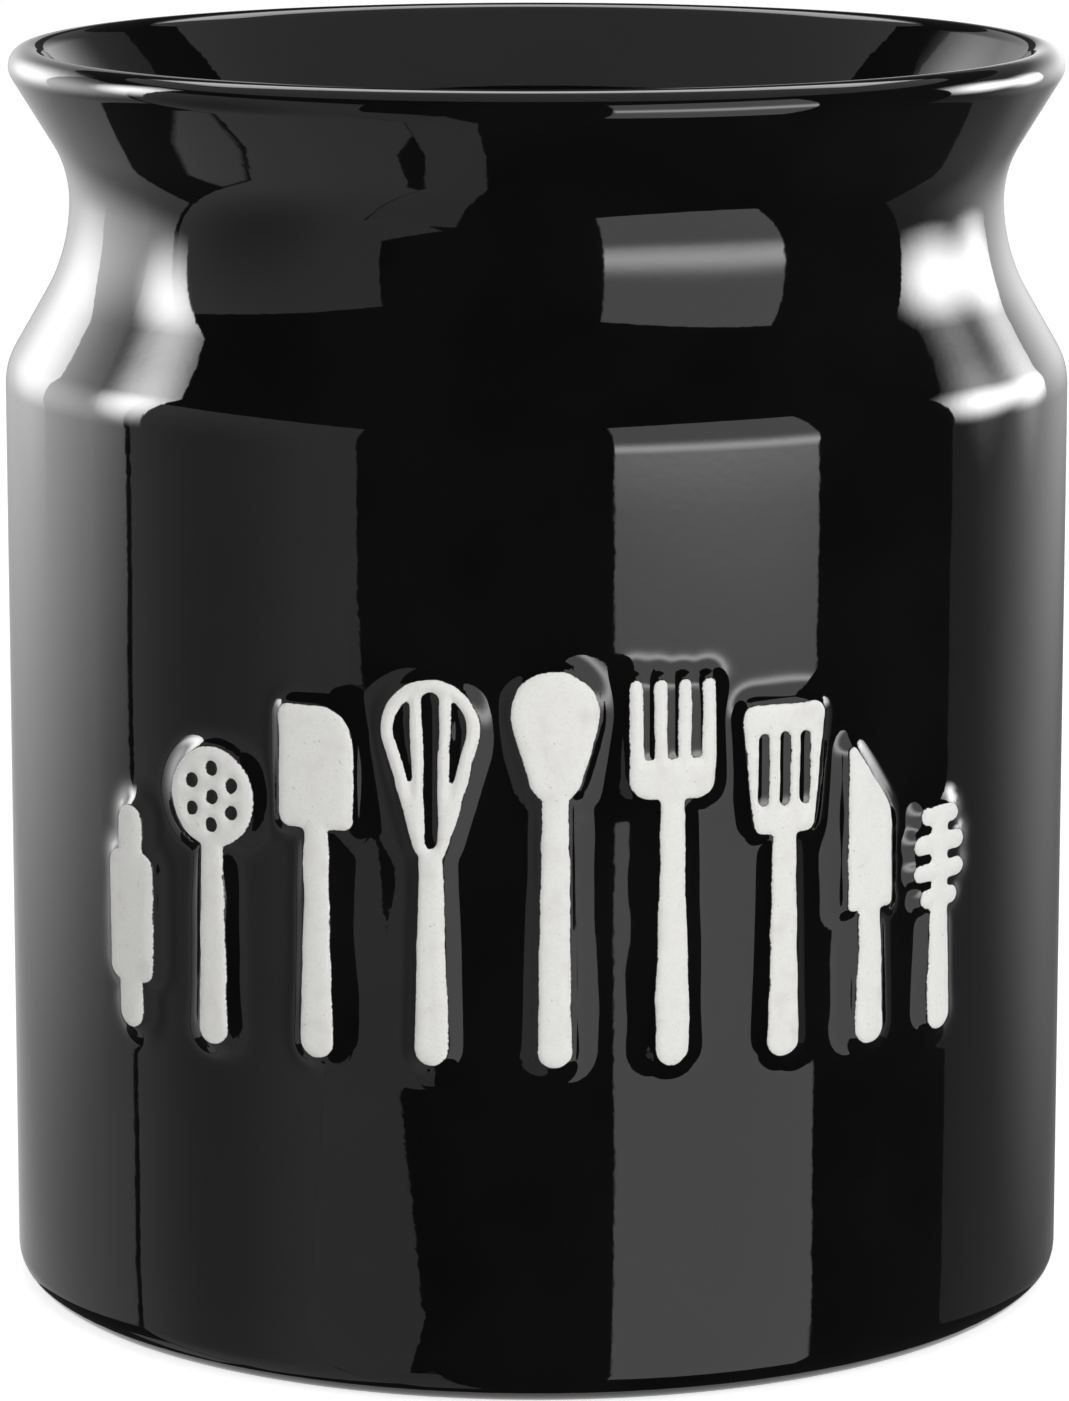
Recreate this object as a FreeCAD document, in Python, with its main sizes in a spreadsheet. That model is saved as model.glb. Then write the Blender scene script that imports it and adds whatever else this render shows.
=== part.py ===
import FreeCAD, Part
import math
import operator
import os
import Sketcher
from FreeCAD import Vector

# A slip-cast stoneware utensil crock: clay body, black glaze and raised bare-clay motifs.
# Millimetres, +Z up, origin at the centre of the foot, motifs facing -Y.

# Driving dimensions. The crock's own sizes are those of the finished, glazed ware.
DIMENSIONS = (
    ("total_height", 181, "foot to top of lip"),
    ("body_diameter", 154, "across the straight wall"),
    ("neck_inset", 9.5, "narrowest ring of the neck inside the straight wall"),
    ("lip_outset", 8.5, "edge of the lip outside the neck"),
    ("shoulder_angle", 30, "slope of the shoulder from upright, degrees"),
    ("lip_angle", 31.4, "slope of the flare from upright, degrees"),
    ("shoulder_radius", 10, "round of the shoulder, in section"),
    ("neck_lower_radius", 27.5, "hollow from shoulder to neck, in section"),
    ("neck_upper_radius", 16, "hollow from neck to lip, in section"),
    ("wall_thickness", 5.6, "clay and both glaze coats; the lip is a full round of it"),
    ("glaze_thickness", 0.5, "one coat"),
    ("base_round", 4.5, "round of the bottom edge, in section"),
    ("foot_height", 0.2, "lowest edge of the glaze above the table"),
    ("foot_setback", 2, "bare foot ring inside the round of the bottom edge"),
    ("foot_width", 7, "flat of the foot ring"),
    ("recess_depth", 2.5, "hollow of the underside inside the foot ring"),
    ("recess_bare_margin", 1, "clay left bare between the base glaze and the foot ring"),
    ("floor_thickness", 6, "clay of the floor"),
    ("floor_round", 9, "inside round between floor and wall"),
    ("relief_height", 2.2, "motif tops above the clay wall"),
    ("relief_draft_angle", 12, "draft of the motif sides, degrees"),
    ("row_drop", 29, "top of the row of motifs below the shoulder"),
    ("row_gap", 4.2, "from the side of one motif to the next around the wall"),
    ("row_tallest", 55, "height of the middle motif"),
    ("row_arch_drop", 1.45, "height lost per squared step from the middle"),
    ("handle_butt_width", 4.8, "motif handles at their foot"),
    ("handle_neck_width", 3.4, "motif handles at their head"),
    ("spoon_bowl_length", 18, "spoon bowl"),
    ("spoon_bowl_width", 12, "spoon bowl, widest near its tip"),
    ("spoon_heel_width", 7.5, "spoon bowl beside the handle"),
    ("fork_head_width", 12, "across the tines"),
    ("fork_tine_width", 1.9, "one tine"),
    ("fork_tine_length", 11, "tines above the palm"),
    ("fork_tine_count", 4, "tines"),
    ("fork_palm_height", 5.6, "bar that the tines stand on"),
    ("whisk_length", 25, "wires of the whisk"),
    ("whisk_width", 13.6, "outer wires, widest near the tip"),
    ("whisk_inner_width", 5.8, "inner wires, widest near the tip"),
    ("whisk_heel_width", 5.2, "wires beside the handle"),
    ("whisk_wire_width", 1.8, "one wire"),
    ("turner_blade_length", 18, "turner blade"),
    ("turner_blade_width", 12.4, "turner blade at its tip"),
    ("turner_heel_width", 9.6, "turner blade beside the handle"),
    ("turner_corner_radius", 1.8, "corners of the turner blade"),
    ("turner_slot_length", 10, "slots of the turner blade"),
    ("turner_slot_width", 1.5, "one slot"),
    ("turner_slot_pitch", 3.2, "from one slot to the next"),
    ("turner_slot_count", 3, "slots"),
    ("scraper_blade_length", 17, "scraper blade"),
    ("scraper_blade_width", 11, "scraper blade"),
    ("scraper_tip_radius", 5, "the one large corner of the scraper"),
    ("scraper_corner_radius", 1.6, "its other corners"),
    ("skimmer_diameter", 14, "disc of the skimmer"),
    ("skimmer_hole_diameter", 1.9, "one hole"),
    ("skimmer_hole_circle", 7.8, "across the ring of holes"),
    ("skimmer_hole_count", 6, "holes in the ring, besides one in the middle"),
    ("knife_blade_length", 23, "knife blade"),
    ("knife_blade_width", 7.6, "knife blade"),
    ("knife_point_length", 12, "where the edge starts to curve to the point"),
    ("knife_belly_radius", 9, "curve of the edge"),
    ("knife_corner_radius", 0.8, "point and heel of the blade"),
    ("pin_barrel_length", 18.5, "barrel of the rolling pin"),
    ("pin_barrel_width", 9, "barrel of the rolling pin"),
    ("pin_corner_radius", 2.2, "corners of the barrel"),
    ("dipper_ring_count", 4, "rings of the honey dipper"),
    ("dipper_ring_height", 2.7, "one ring"),
    ("dipper_ring_pitch", 3.9, "from one ring to the next"),
    ("dipper_middle_width", 10.6, "middle rings"),
    ("dipper_end_width", 7.6, "end rings"),
)

# How a sketch numbers the points of an arc or a line
START, END, CENTRE = range(1, 4)

doc = FreeCAD.newDocument("UtensilCrock")


class Size:
    """A number together with the sheet expression that gives it."""

    def __init__(self, number, text=None):
        self.number = number
        self.text = text or str(number)

    def combine(self, sign, rule, other):
        other = other if isinstance(other, Size) else Size(other)
        return Size(rule(self.number, other.number), f"({self.text} {sign} {other.text})")

    def __add__(self, other):
        return self.combine("+", operator.add, other)

    def __sub__(self, other):
        return self.combine("-", operator.sub, other)

    def __mul__(self, other):
        return self.combine("*", operator.mul, other)

    def __truediv__(self, other):
        return self.combine("/", operator.truediv, other)

    def __neg__(self):
        return NOTHING - self

    def sine(self):
        return Size(math.sin(math.radians(self.number)), f"sin({self.text})")

    def cosine(self):
        return Size(math.cos(math.radians(self.number)), f"cos({self.text})")


NOTHING = Size(0)


def make_sheet():
    """Write the driving dimensions into the sheet and return them by name."""
    sheet = doc.addObject("Spreadsheet::Sheet", "Sizes")
    sizes = {}
    for row, (name, value, note) in enumerate(DIMENSIONS, start=1):
        sheet.set(f"A{row}", note)
        sheet.set(f"B{row}", str(value))
        sheet.setAlias(f"B{row}", name)
        sizes[name] = Size(value, f"Sizes.{name}")
    doc.recompute()
    return sizes


size = make_sheet()


def tangent_rise(lean, reach, shift):
    """Height that a wall takes to shift sideways over a round, a straight and a hollow that are tangent
    to each other, given the straight's lean and the sum of the two radii."""
    straight = (shift - reach * (Size(1) - lean.cosine())) / lean.sine()
    return reach * lean.sine() + straight * lean.cosine()


# Places that several pieces share
WALL = size["wall_thickness"]
GLAZE = size["glaze_thickness"]
LIP_ROUND = WALL / 2
WALL_RADIUS = size["body_diameter"] / 2
NECK_RADIUS = WALL_RADIUS - size["neck_inset"]
LIP_HEIGHT = size["total_height"] - LIP_ROUND
NECK_HEIGHT = LIP_HEIGHT - tangent_rise(
    size["lip_angle"], size["neck_upper_radius"] + LIP_ROUND, size["lip_outset"])
SHOULDER_HEIGHT = NECK_HEIGHT - tangent_rise(
    size["shoulder_angle"], size["shoulder_radius"] + size["neck_lower_radius"], size["neck_inset"])
CLAY_RADIUS = WALL_RADIUS - GLAZE
CROWN_RADIUS = CLAY_RADIUS + size["relief_height"]
CLAY_FLOOR = size["recess_depth"] + size["floor_thickness"]
EDGE_RADIUS = WALL_RADIUS - size["base_round"]
FOOT_OUTSIDE = EDGE_RADIUS - size["foot_setback"]
FOOT_INSIDE = FOOT_OUTSIDE - size["foot_width"]
ROW_FOOT = SHOULDER_HEIGHT - size["row_drop"] - size["row_tallest"]


class Outline:
    """A sketch on its own body's XZ plane, x across and y up, held by sizes from the sheet."""

    def __init__(self, body, name, lift=NOTHING):
        self.sketch = body.newObject("Sketcher::SketchObject", name)
        plane = next(item for item in body.Origin.OriginFeatures if item.Role == "XZ_Plane")
        self.sketch.AttachmentSupport = (plane, [""])
        self.sketch.MapMode = "FlatFace"
        self.sketch.setExpression("AttachmentOffset.Base.z", lift.text)

    def hold(self, kind, *where):
        return self.sketch.addConstraint(Sketcher.Constraint(kind, *where))

    def bind(self, kind, *where, to):
        index = self.hold(kind, *where, to.number)
        self.sketch.setExpression(f"Constraints[{index}]", to.text)

    def place(self, index, point, x, y):
        """Hold a point at its distances from the sketch's origin."""
        self.bind("DistanceX", -1, START, index, point, to=x)
        self.bind("DistanceY", -1, START, index, point, to=y)

    def line(self, start, end):
        return self.sketch.addGeometry(Part.LineSegment(Vector(*start), Vector(*end)))

    def circle(self, x, y, radius, span=None):
        """A circle, or the arc of it over a span of angles, with its centre held."""
        shape = Part.Circle(Vector(x.number, y.number), Vector(0, 0, 1), radius.number)
        if span:
            shape = Part.ArcOfCircle(shape, *span)
        index = self.sketch.addGeometry(shape)
        self.place(index, CENTRE, x, y)
        return index

    def round(self, x, y, radius, span=None):
        """A circle or arc with its radius held as well."""
        index = self.circle(x, y, radius, span)
        self.bind("Radius", index, to=radius)
        return index

    def bridge(self, first, first_end, second, second_end):
        """A straight line between the ends of two arcs, tangent to both."""
        ends = []
        for index, point in ((first, first_end), (second, second_end)):
            end = self.sketch.getPoint(index, point)
            ends.append((end.x, end.y))
        index = self.line(*ends)
        self.hold("Tangent", first, first_end, index, START)
        self.hold("Tangent", index, END, second, second_end)

    def hull(self, circles):
        """A closed outline pulled tight round circles (x, y, radius), listed anticlockwise."""
        if len(circles) == 1:
            self.round(*circles[0])
            return
        flanks = []
        for (x1, y1, r1), (x2, y2, r2) in zip(circles, circles[1:] + circles[:1]):
            across = x2.number - x1.number
            along = y2.number - y1.number
            lean = math.asin((r1.number - r2.number) / math.hypot(across, along))
            flanks.append(math.atan2(along, across) - math.pi / 2 + lean)
        arcs = []
        for step, circle in enumerate(circles):
            arcs.append(self.round(*circle, span=(flanks[step - 1], flanks[step])))
        for arc, following in zip(arcs, arcs[1:] + arcs[:1]):
            self.bridge(arc, END, following, START)


def wall_section(outline, depth):
    """The wall's section at a depth below the finished skin: from the bottom edge up the outside, over the
    lip and down the inside to the middle of the floor. Returns its first arc and its last line."""
    across = WALL - depth
    base_round = size["base_round"]
    shoulder_round = size["shoulder_radius"]
    lower_hollow = size["neck_lower_radius"]
    upper_hollow = size["neck_upper_radius"]
    floor_round = size["floor_round"]

    base = (EDGE_RADIUS, size["foot_height"] + base_round)
    shoulder = (WALL_RADIUS - shoulder_round, SHOULDER_HEIGHT)
    lower = (NECK_RADIUS + lower_hollow, NECK_HEIGHT)
    upper = (NECK_RADIUS + upper_hollow, NECK_HEIGHT)
    lip = (NECK_RADIUS + size["lip_outset"] - LIP_ROUND, LIP_HEIGHT)
    floor = (WALL_RADIUS - WALL - floor_round, CLAY_FLOOR + GLAZE + floor_round)

    cone = math.radians(size["shoulder_angle"].number)
    flare = math.radians(size["lip_angle"].number)
    quarter = (-math.pi / 2, 0)
    shoulder_span = (0, cone)
    lower_span = (math.pi, math.pi + cone)
    upper_span = (math.pi - flare, math.pi)
    lip_span = (-flare, math.pi - flare)

    base_arc = outline.round(*base, base_round - depth, quarter)
    shoulder_arc = outline.round(*shoulder, shoulder_round - depth, shoulder_span)
    lower_arc = outline.round(*lower, lower_hollow + depth, lower_span)
    upper_arc = outline.circle(*upper, upper_hollow + depth, upper_span)
    lip_arc = outline.round(*lip, LIP_ROUND - depth, lip_span)
    inner_upper_arc = outline.round(*upper, upper_hollow + across, upper_span)
    inner_lower_arc = outline.circle(*lower, lower_hollow + across, lower_span)
    inner_shoulder_arc = outline.round(*shoulder, shoulder_round - across, shoulder_span)
    floor_arc = outline.round(*floor, floor_round + depth, quarter)

    outline.bridge(base_arc, END, shoulder_arc, START)
    outline.bridge(shoulder_arc, END, lower_arc, END)
    outline.hold("Tangent", lower_arc, START, upper_arc, END)
    outline.bridge(upper_arc, START, lip_arc, START)
    outline.bridge(lip_arc, END, inner_upper_arc, START)
    outline.hold("Tangent", inner_upper_arc, END, inner_lower_arc, START)
    outline.bridge(inner_lower_arc, END, inner_shoulder_arc, END)
    outline.bridge(inner_shoulder_arc, START, floor_arc, END)

    floor_level = (CLAY_FLOOR + GLAZE - depth).number
    floor_line = outline.line((floor[0].number, floor_level), (0, floor_level))
    outline.hold("Tangent", floor_arc, START, floor_line, START)
    outline.hold("Horizontal", floor_line)
    outline.hold("PointOnObject", floor_line, END, -2)
    outline.bind("DistanceX", -1, START, base_arc, START, to=base[0])
    return base_arc, floor_line


def revolve(body, outline):
    """Turn a section once round the crock's axis."""
    turn = body.newObject("PartDesign::Revolution", body.Name + "_turned")
    turn.Profile = outline.sketch
    turn.ReferenceAxis = (outline.sketch, ["V_Axis"])
    turn.Angle = 360


def make_crock_body():
    """Clay body: foot ring, floor, wall, shoulder, neck and lip in one turned section."""
    body = doc.addObject("PartDesign::Body", "crock_body")
    outline = Outline(body, "crock_section")
    base_arc, floor_line = wall_section(outline, GLAZE)
    step_height = size["foot_height"] + GLAZE
    corners = (
        (NOTHING, size["recess_depth"]),
        (FOOT_INSIDE, size["recess_depth"]),
        (FOOT_INSIDE, NOTHING),
        (FOOT_OUTSIDE, NOTHING),
        (FOOT_OUTSIDE, step_height),
    )
    last = floor_line
    point = (0, CLAY_FLOOR.number)
    for x, y in corners:
        corner = (x.number, y.number)
        edge = outline.line(point, corner)
        outline.hold("Coincident", last, END, edge, START)
        outline.place(edge, END, x, y)
        last = edge
        point = corner
    step = outline.line(point, (EDGE_RADIUS.number, step_height.number))
    outline.hold("Coincident", last, END, step, START)
    outline.hold("Coincident", step, END, base_arc, START)
    revolve(body, outline)
    return body


def make_glaze_blank():
    """Glaze coat before its windows: all that lies between the finished skin and the clay."""
    body = doc.addObject("PartDesign::Body", "glaze_blank")
    outline = Outline(body, "glaze_section")
    skin_arc, skin_floor = wall_section(outline, NOTHING)
    clay_arc, clay_floor = wall_section(outline, GLAZE)
    low = size["foot_height"].number
    middle = CLAY_FLOOR.number
    closings = (
        (skin_arc, START, clay_arc, START, EDGE_RADIUS.number, low, low + GLAZE.number),
        (skin_floor, END, clay_floor, END, 0, middle + GLAZE.number, middle),
    )
    for skin, skin_end, clay, clay_end, x, skin_y, clay_y in closings:
        edge = outline.line((x, skin_y), (x, clay_y))
        outline.hold("Coincident", edge, START, skin, skin_end)
        outline.hold("Coincident", edge, END, clay, clay_end)
    revolve(body, outline)
    return body


def make_base_glaze():
    """Glazed disc under the floor, inside the foot ring."""
    disc = doc.addObject("Part::Cylinder", "base_glaze")
    disc.setExpression("Radius", (FOOT_INSIDE - size["recess_bare_margin"]).text)
    disc.setExpression("Height", GLAZE.text)
    disc.setExpression("Placement.Base.z", (size["recess_depth"] - GLAZE).text)
    return disc


def make_relief_band():
    """The layer outside the clay wall that the motifs fill."""
    band = doc.addObject("Part::Cut", "relief_band")
    band.Base = doc.addObject("Part::Cylinder", "relief_band_outside")
    band.Tool = doc.addObject("Part::Cylinder", "relief_band_inside")
    for cylinder, radius in ((band.Base, CROWN_RADIUS), (band.Tool, CLAY_RADIUS)):
        cylinder.setExpression("Radius", radius.text)
        cylinder.setExpression("Height", SHOULDER_HEIGHT.text)
    return band


class Motif:
    """A raised tool standing on y = 0: outlines drawn at the crown of the relief and padded into the wall."""

    def __init__(self, name, step, along):
        """step counts places from the row's middle; along is the distance round the wall to the right."""
        self.name = name
        self.top = size["row_tallest"] - size["row_arch_drop"] * step ** 2
        self.depth = size["relief_height"] + WALL
        self.body = doc.addObject("PartDesign::Body", name + "_blank")
        turn = along / CROWN_RADIUS * math.degrees(1)
        foot = f"vector(0; 0; {ROW_FOOT.text})"
        self.body.setExpression("Placement", f"placement({foot}; rotation(vector(0; 0; 1); {turn.text}))")

    def feature(self, kind, name, circles):
        outline = Outline(self.body, f"{self.name}_{name}_outline", lift=CROWN_RADIUS)
        outline.hull(circles)
        feature = self.body.newObject(kind, f"{self.name}_{name}")
        feature.Profile = outline.sketch
        feature.setExpression("Length", self.depth.text)
        return feature

    def pad(self, name, circles):
        """Raise a shape, with draft."""
        pad = self.feature("PartDesign::Pad", name, circles)
        pad.Reversed = True
        pad.setExpression("TaperAngle", size["relief_draft_angle"].text)
        return pad

    def pocket(self, name, circles):
        """Open a shape right down to the wall."""
        return self.feature("PartDesign::Pocket", name, circles)

    def row(self, feature, count, span):
        """Repeat a feature to the right of where it is drawn."""
        pattern = self.body.newObject("PartDesign::LinearPattern", feature.Name + "_row")
        pattern.Originals = [feature]
        pattern.Direction = (feature.Profile[0], ["H_Axis"])
        pattern.setExpression("Length", span.text)
        pattern.setExpression("Occurrences", count.text)
        self.body.Tip = pattern

    def handle(self, head_foot):
        """Handle from the foot of the motif up into its head."""
        neck = size["handle_neck_width"]
        self.pad("handle", upright_loop(NOTHING, head_foot + neck, size["handle_butt_width"], neck))


def upright_loop(foot, top, foot_width, top_width):
    """A round-ended shape on the motif's centre line, with its width at either end."""
    low = foot_width / 2
    high = top_width / 2
    return [(NOTHING, foot + low, low), (NOTHING, top - high, high)]


def level_loop(middle, width, height):
    """A round-ended bar across the motif's centre line."""
    end = height / 2
    reach = width / 2 - end
    return [(-reach, middle, end), (reach, middle, end)]


def plate_loop(foot, top, foot_width, top_width, corner):
    """A plate with rounded corners about the motif's centre line."""
    low = foot_width / 2 - corner
    high = top_width / 2 - corner
    return [
        (-low, foot + corner, corner),
        (low, foot + corner, corner),
        (high, top - corner, corner),
        (-high, top - corner, corner),
    ]


def draw_spoon(motif):
    foot = motif.top - size["spoon_bowl_length"]
    motif.handle(foot)
    motif.pad("bowl", upright_loop(foot, motif.top, size["spoon_heel_width"], size["spoon_bowl_width"]))


def draw_fork(motif):
    palm = size["fork_palm_height"]
    tine = size["fork_tine_width"] / 2
    left = tine - size["fork_head_width"] / 2
    tine_foot = motif.top - size["fork_tine_length"]
    palm_middle = tine_foot - palm / 2
    motif.handle(tine_foot - palm)
    motif.pad("palm", level_loop(palm_middle, size["fork_head_width"], palm))
    first = motif.pad("tine", [(left, palm_middle, tine), (left, motif.top - tine, tine)])
    motif.row(first, size["fork_tine_count"], size["fork_head_width"] - size["fork_tine_width"])


def draw_whisk(motif):
    foot = motif.top - size["whisk_length"]
    wire = size["whisk_wire_width"]
    heel = size["whisk_heel_width"]
    motif.handle(foot)
    for name, width in (("outer_wires", size["whisk_width"]), ("inner_wires", size["whisk_inner_width"])):
        motif.pad(name, upright_loop(foot, motif.top, heel, width))
        inside = upright_loop(foot + wire, motif.top - wire, heel - wire * 2, width - wire * 2)
        motif.pocket(name + "_gap", inside)


def draw_turner(motif):
    blade = size["turner_blade_length"]
    foot = motif.top - blade
    motif.handle(foot)
    motif.pad("blade", plate_loop(foot, motif.top, size["turner_heel_width"], size["turner_blade_width"],
                                  size["turner_corner_radius"]))
    slot = size["turner_slot_width"] / 2
    reach = size["turner_slot_length"] / 2 - slot
    middle = motif.top - blade / 2
    span = size["turner_slot_pitch"] * (round(size["turner_slot_count"].number) - 1)
    left = -(span / 2)
    first = motif.pocket("slot", [(left, middle - reach, slot), (left, middle + reach, slot)])
    motif.row(first, size["turner_slot_count"], span)


def draw_scraper(motif):
    foot = motif.top - size["scraper_blade_length"]
    half = size["scraper_blade_width"] / 2
    corner = size["scraper_corner_radius"]
    tip = size["scraper_tip_radius"]
    motif.handle(foot)
    motif.pad("blade", [
        (corner - half, foot + corner, corner),
        (half - corner, foot + corner, corner),
        (half - tip, motif.top - tip, tip),
        (corner - half, motif.top - corner, corner),
    ])


def draw_skimmer(motif):
    radius = size["skimmer_diameter"] / 2
    hole = size["skimmer_hole_diameter"] / 2
    ring = size["skimmer_hole_circle"] / 2
    middle = motif.top - radius
    count = round(size["skimmer_hole_count"].number)
    motif.handle(motif.top - size["skimmer_diameter"])
    motif.pad("disc", [(NOTHING, middle, radius)])
    motif.pocket("middle_hole", [(NOTHING, middle, hole)])
    for number in range(count):
        turn = 2 * math.pi * number / count
        place = (ring * math.sin(turn), middle + ring * math.cos(turn), hole)
        motif.pocket(f"hole_{number + 1}", [place])


def draw_knife(motif):
    foot = motif.top - size["knife_blade_length"]
    half = size["knife_blade_width"] / 2
    corner = size["knife_corner_radius"]
    belly = size["knife_belly_radius"]
    motif.handle(foot)
    motif.pad("blade", [
        (corner - half, foot + corner, corner),
        (half - corner, foot + corner, corner),
        (half - belly, motif.top - size["knife_point_length"], belly),
        (corner - half, motif.top - corner, corner),
    ])


def draw_rolling_pin(motif):
    width = size["pin_barrel_width"]
    grip = size["handle_butt_width"]
    gap = (motif.top - size["pin_barrel_length"]) / 2
    motif.pad("grips", upright_loop(NOTHING, motif.top, grip, grip))
    motif.pad("barrel", plate_loop(gap, motif.top - gap, width, width, size["pin_corner_radius"]))


def draw_dipper(motif):
    height = size["dipper_ring_height"]
    pitch = size["dipper_ring_pitch"]
    middle_width = size["dipper_middle_width"]
    count = round(size["dipper_ring_count"].number)
    foot = motif.top - pitch * (count - 1) - height
    neck = size["handle_neck_width"]
    motif.handle(foot)
    motif.pad("stem", upright_loop(foot, motif.top, neck, neck))
    for number in range(count):
        outwards = 2 * number / (count - 1) - 1
        width = middle_width - (middle_width - size["dipper_end_width"]) * outwards ** 2
        motif.pad(f"ring_{number + 1}", level_loop(foot + height / 2 + pitch * number, width, height))


# The row of motifs from left to right: name, drawing and the size that is its full width
ROW = (
    ("relief_rolling_pin", draw_rolling_pin, "pin_barrel_width"),
    ("relief_skimmer", draw_skimmer, "skimmer_diameter"),
    ("relief_scraper", draw_scraper, "scraper_blade_width"),
    ("relief_whisk", draw_whisk, "whisk_width"),
    ("relief_spoon", draw_spoon, "spoon_bowl_width"),
    ("relief_fork", draw_fork, "fork_head_width"),
    ("relief_turner", draw_turner, "turner_blade_width"),
    ("relief_knife", draw_knife, "knife_blade_width"),
    ("relief_dipper", draw_dipper, "dipper_middle_width"),
)


def row_places():
    """Middle of each motif along the row, with equal gaps and the row's own middle at 0."""
    widths = [size[width] for _, _, width in ROW]
    places = []
    end = NOTHING
    for width in widths:
        places.append(end + width / 2)
        end = end + width + size["row_gap"]
    middle = (end - size["row_gap"]) / 2
    return [place - middle for place in places]


def make_reliefs():
    """Draw each motif in its place and trim it to the band, so that it follows the wall."""
    band = make_relief_band()
    reliefs = []
    for place, ((name, draw, _), along) in enumerate(zip(ROW, row_places())):
        motif = Motif(name, place - len(ROW) // 2, along)
        draw(motif)
        relief = doc.addObject("Part::Common", name)
        relief.Base = motif.body
        relief.Tool = band
        # Merging the split faces of a curved crown can spoil it, so they stay split
        relief.Refine = False
        reliefs.append(relief)
    return reliefs


def make_glaze_coat(blank, reliefs):
    """The glaze coat with a window for every motif."""
    windows = doc.addObject("Part::Compound", "glaze_windows")
    windows.Links = reliefs
    coat = doc.addObject("Part::Cut", "glaze_coat")
    coat.Base = blank
    coat.Tool = windows
    return coat


def check(parts, coat):
    """Stop if any object of the document failed, or if any part is not one sound solid. The coat alone has
    more: an island of glaze lies in every gap of a motif."""
    for item in doc.Objects:
        if "Invalid" in item.State or "Error" in item.State:
            raise RuntimeError(f"{item.Name} failed: {item.State}")
    for part in parts:
        shape = part.Shape
        if shape.isNull() or not shape.isValid() or not shape.Solids:
            raise RuntimeError(f"{part.Label} is not sound")
        if part is not coat and len(shape.Solids) != 1:
            raise RuntimeError(f"{part.Label} has come apart")


def main():
    body = make_crock_body()
    reliefs = make_reliefs()
    coat = make_glaze_coat(make_glaze_blank(), reliefs)
    parts = [body, coat, make_base_glaze()] + reliefs
    doc.recompute()
    check(parts, coat)
    os.makedirs("parts", exist_ok=True)
    for part in parts:
        part.Shape.exportStep(f"parts/{part.Label}.step")
        print(f"{part.Label}: {len(part.Shape.Solids)} solids, {part.Shape.Volume:.1f} mm3")


main()
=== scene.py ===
import math
from typing import NamedTuple

import bmesh
import bpy
from bpy.props import FloatProperty, FloatVectorProperty, PointerProperty
from mathutils import Matrix, Vector, noise
from mathutils.bvhtree import BVHTree


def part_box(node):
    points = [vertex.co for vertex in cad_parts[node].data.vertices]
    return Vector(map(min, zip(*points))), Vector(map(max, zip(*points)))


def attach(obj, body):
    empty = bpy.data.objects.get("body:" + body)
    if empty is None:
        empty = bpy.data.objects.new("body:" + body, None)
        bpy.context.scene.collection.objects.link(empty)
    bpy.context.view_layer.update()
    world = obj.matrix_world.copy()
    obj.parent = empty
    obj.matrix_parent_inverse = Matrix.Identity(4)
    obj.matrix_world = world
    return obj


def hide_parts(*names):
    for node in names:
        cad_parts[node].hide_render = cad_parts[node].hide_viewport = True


bl_info = {
    "name": "Utensil Crock",
    "version": (1, 0, 0),
    "blender": (4, 5, 0),
    "location": "View3D > Sidebar > Crock",
    "description": "Dresses a stoneware utensil crock with its glaze, raised clay motifs and studio stage",
    "category": "Object",
}

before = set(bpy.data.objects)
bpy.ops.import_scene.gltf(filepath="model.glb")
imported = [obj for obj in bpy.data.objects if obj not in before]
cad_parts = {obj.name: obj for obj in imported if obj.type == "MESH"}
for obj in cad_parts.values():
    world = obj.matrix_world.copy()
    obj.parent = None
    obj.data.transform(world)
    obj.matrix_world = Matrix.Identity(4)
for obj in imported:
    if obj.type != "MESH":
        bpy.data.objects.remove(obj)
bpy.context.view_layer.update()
RELIEFS = sorted(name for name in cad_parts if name.startswith("relief_"))
RELIEF_BOXES = [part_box(name) for name in RELIEFS]
RELIEF_POINTS = [point.co.copy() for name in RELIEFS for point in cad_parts[name].data.vertices]
CROWN_RADIUS = max(math.hypot(point.x, point.y) for point in RELIEF_POINTS)
COAT_LOW, COAT_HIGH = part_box("glaze_coat")

# Mesh counts of the glaze coat, for its skin and for its hidden side against the clay
SKIN_ARC_STEPS = 44
SKIN_NECK_STEPS = 12
ROWS_BELOW_MOTIFS = 4
ROWS_ABOVE_MOTIFS = 3
HIDDEN_ARC_STEPS = 8
HIDDEN_NECK_STEPS = 3
HIDDEN_WALL_ROWS = 2
LEAST_ARC_STEPS = 3
SLOPE_ROWS = 2
WELL_ROWS = 4
FLOOR_ROWS = 3
BACK_STEPS = 96

# Points closer together than this are one point
MERGE_DISTANCE = 1e-6

# Collars of glaze: room for them beside the row, the power of their slope, smoothing passes, uneven width
COLLAR_ROOM = 0.004
COLLAR_POWER = 2.6
COLLAR_SMOOTHING = 2
COLLAR_WAVES_PER_METRE = 130

# Cast motifs: smoothing passes, the most that an upright face looks outward, the strays of their points
# as (waves to the metre, size) with their seed, and the dips of the crown
CAST_SMOOTHING = 9
UPRIGHT_LIMIT = 0.5
STRAYS = ((190, 0.00022), (600, 0.00007))
STRAY_SEED = 5
DIPS_PER_METRE = 400
DIP_DEPTH = 0.00006

# Heights between which the waves of the glaze grow towards the neck
CALM_HEIGHT = 0.13
UNRULY_HEIGHT = 0.165

# The wiped edge of the glaze on a motif: how far it wanders, how it crumbles and how wide it fades
WIPE_WANDER = 0.00009
WIPE_CRUMBS = 0.00008
WIPE_FADE = 0.00006

# Stage: mesh counts of its paper and discs, and the height from which the softboxes' elevations are given
STAGE_STEPS = 96
COVE_STEPS = 12
PAPER_ROWS = 2
SIGHT_HEIGHT = 0.09


def length(name, description, default, precision=5):
    """A size in metres."""
    return FloatProperty(name=name, description=description, default=default, unit="LENGTH",
                         precision=precision)


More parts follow.
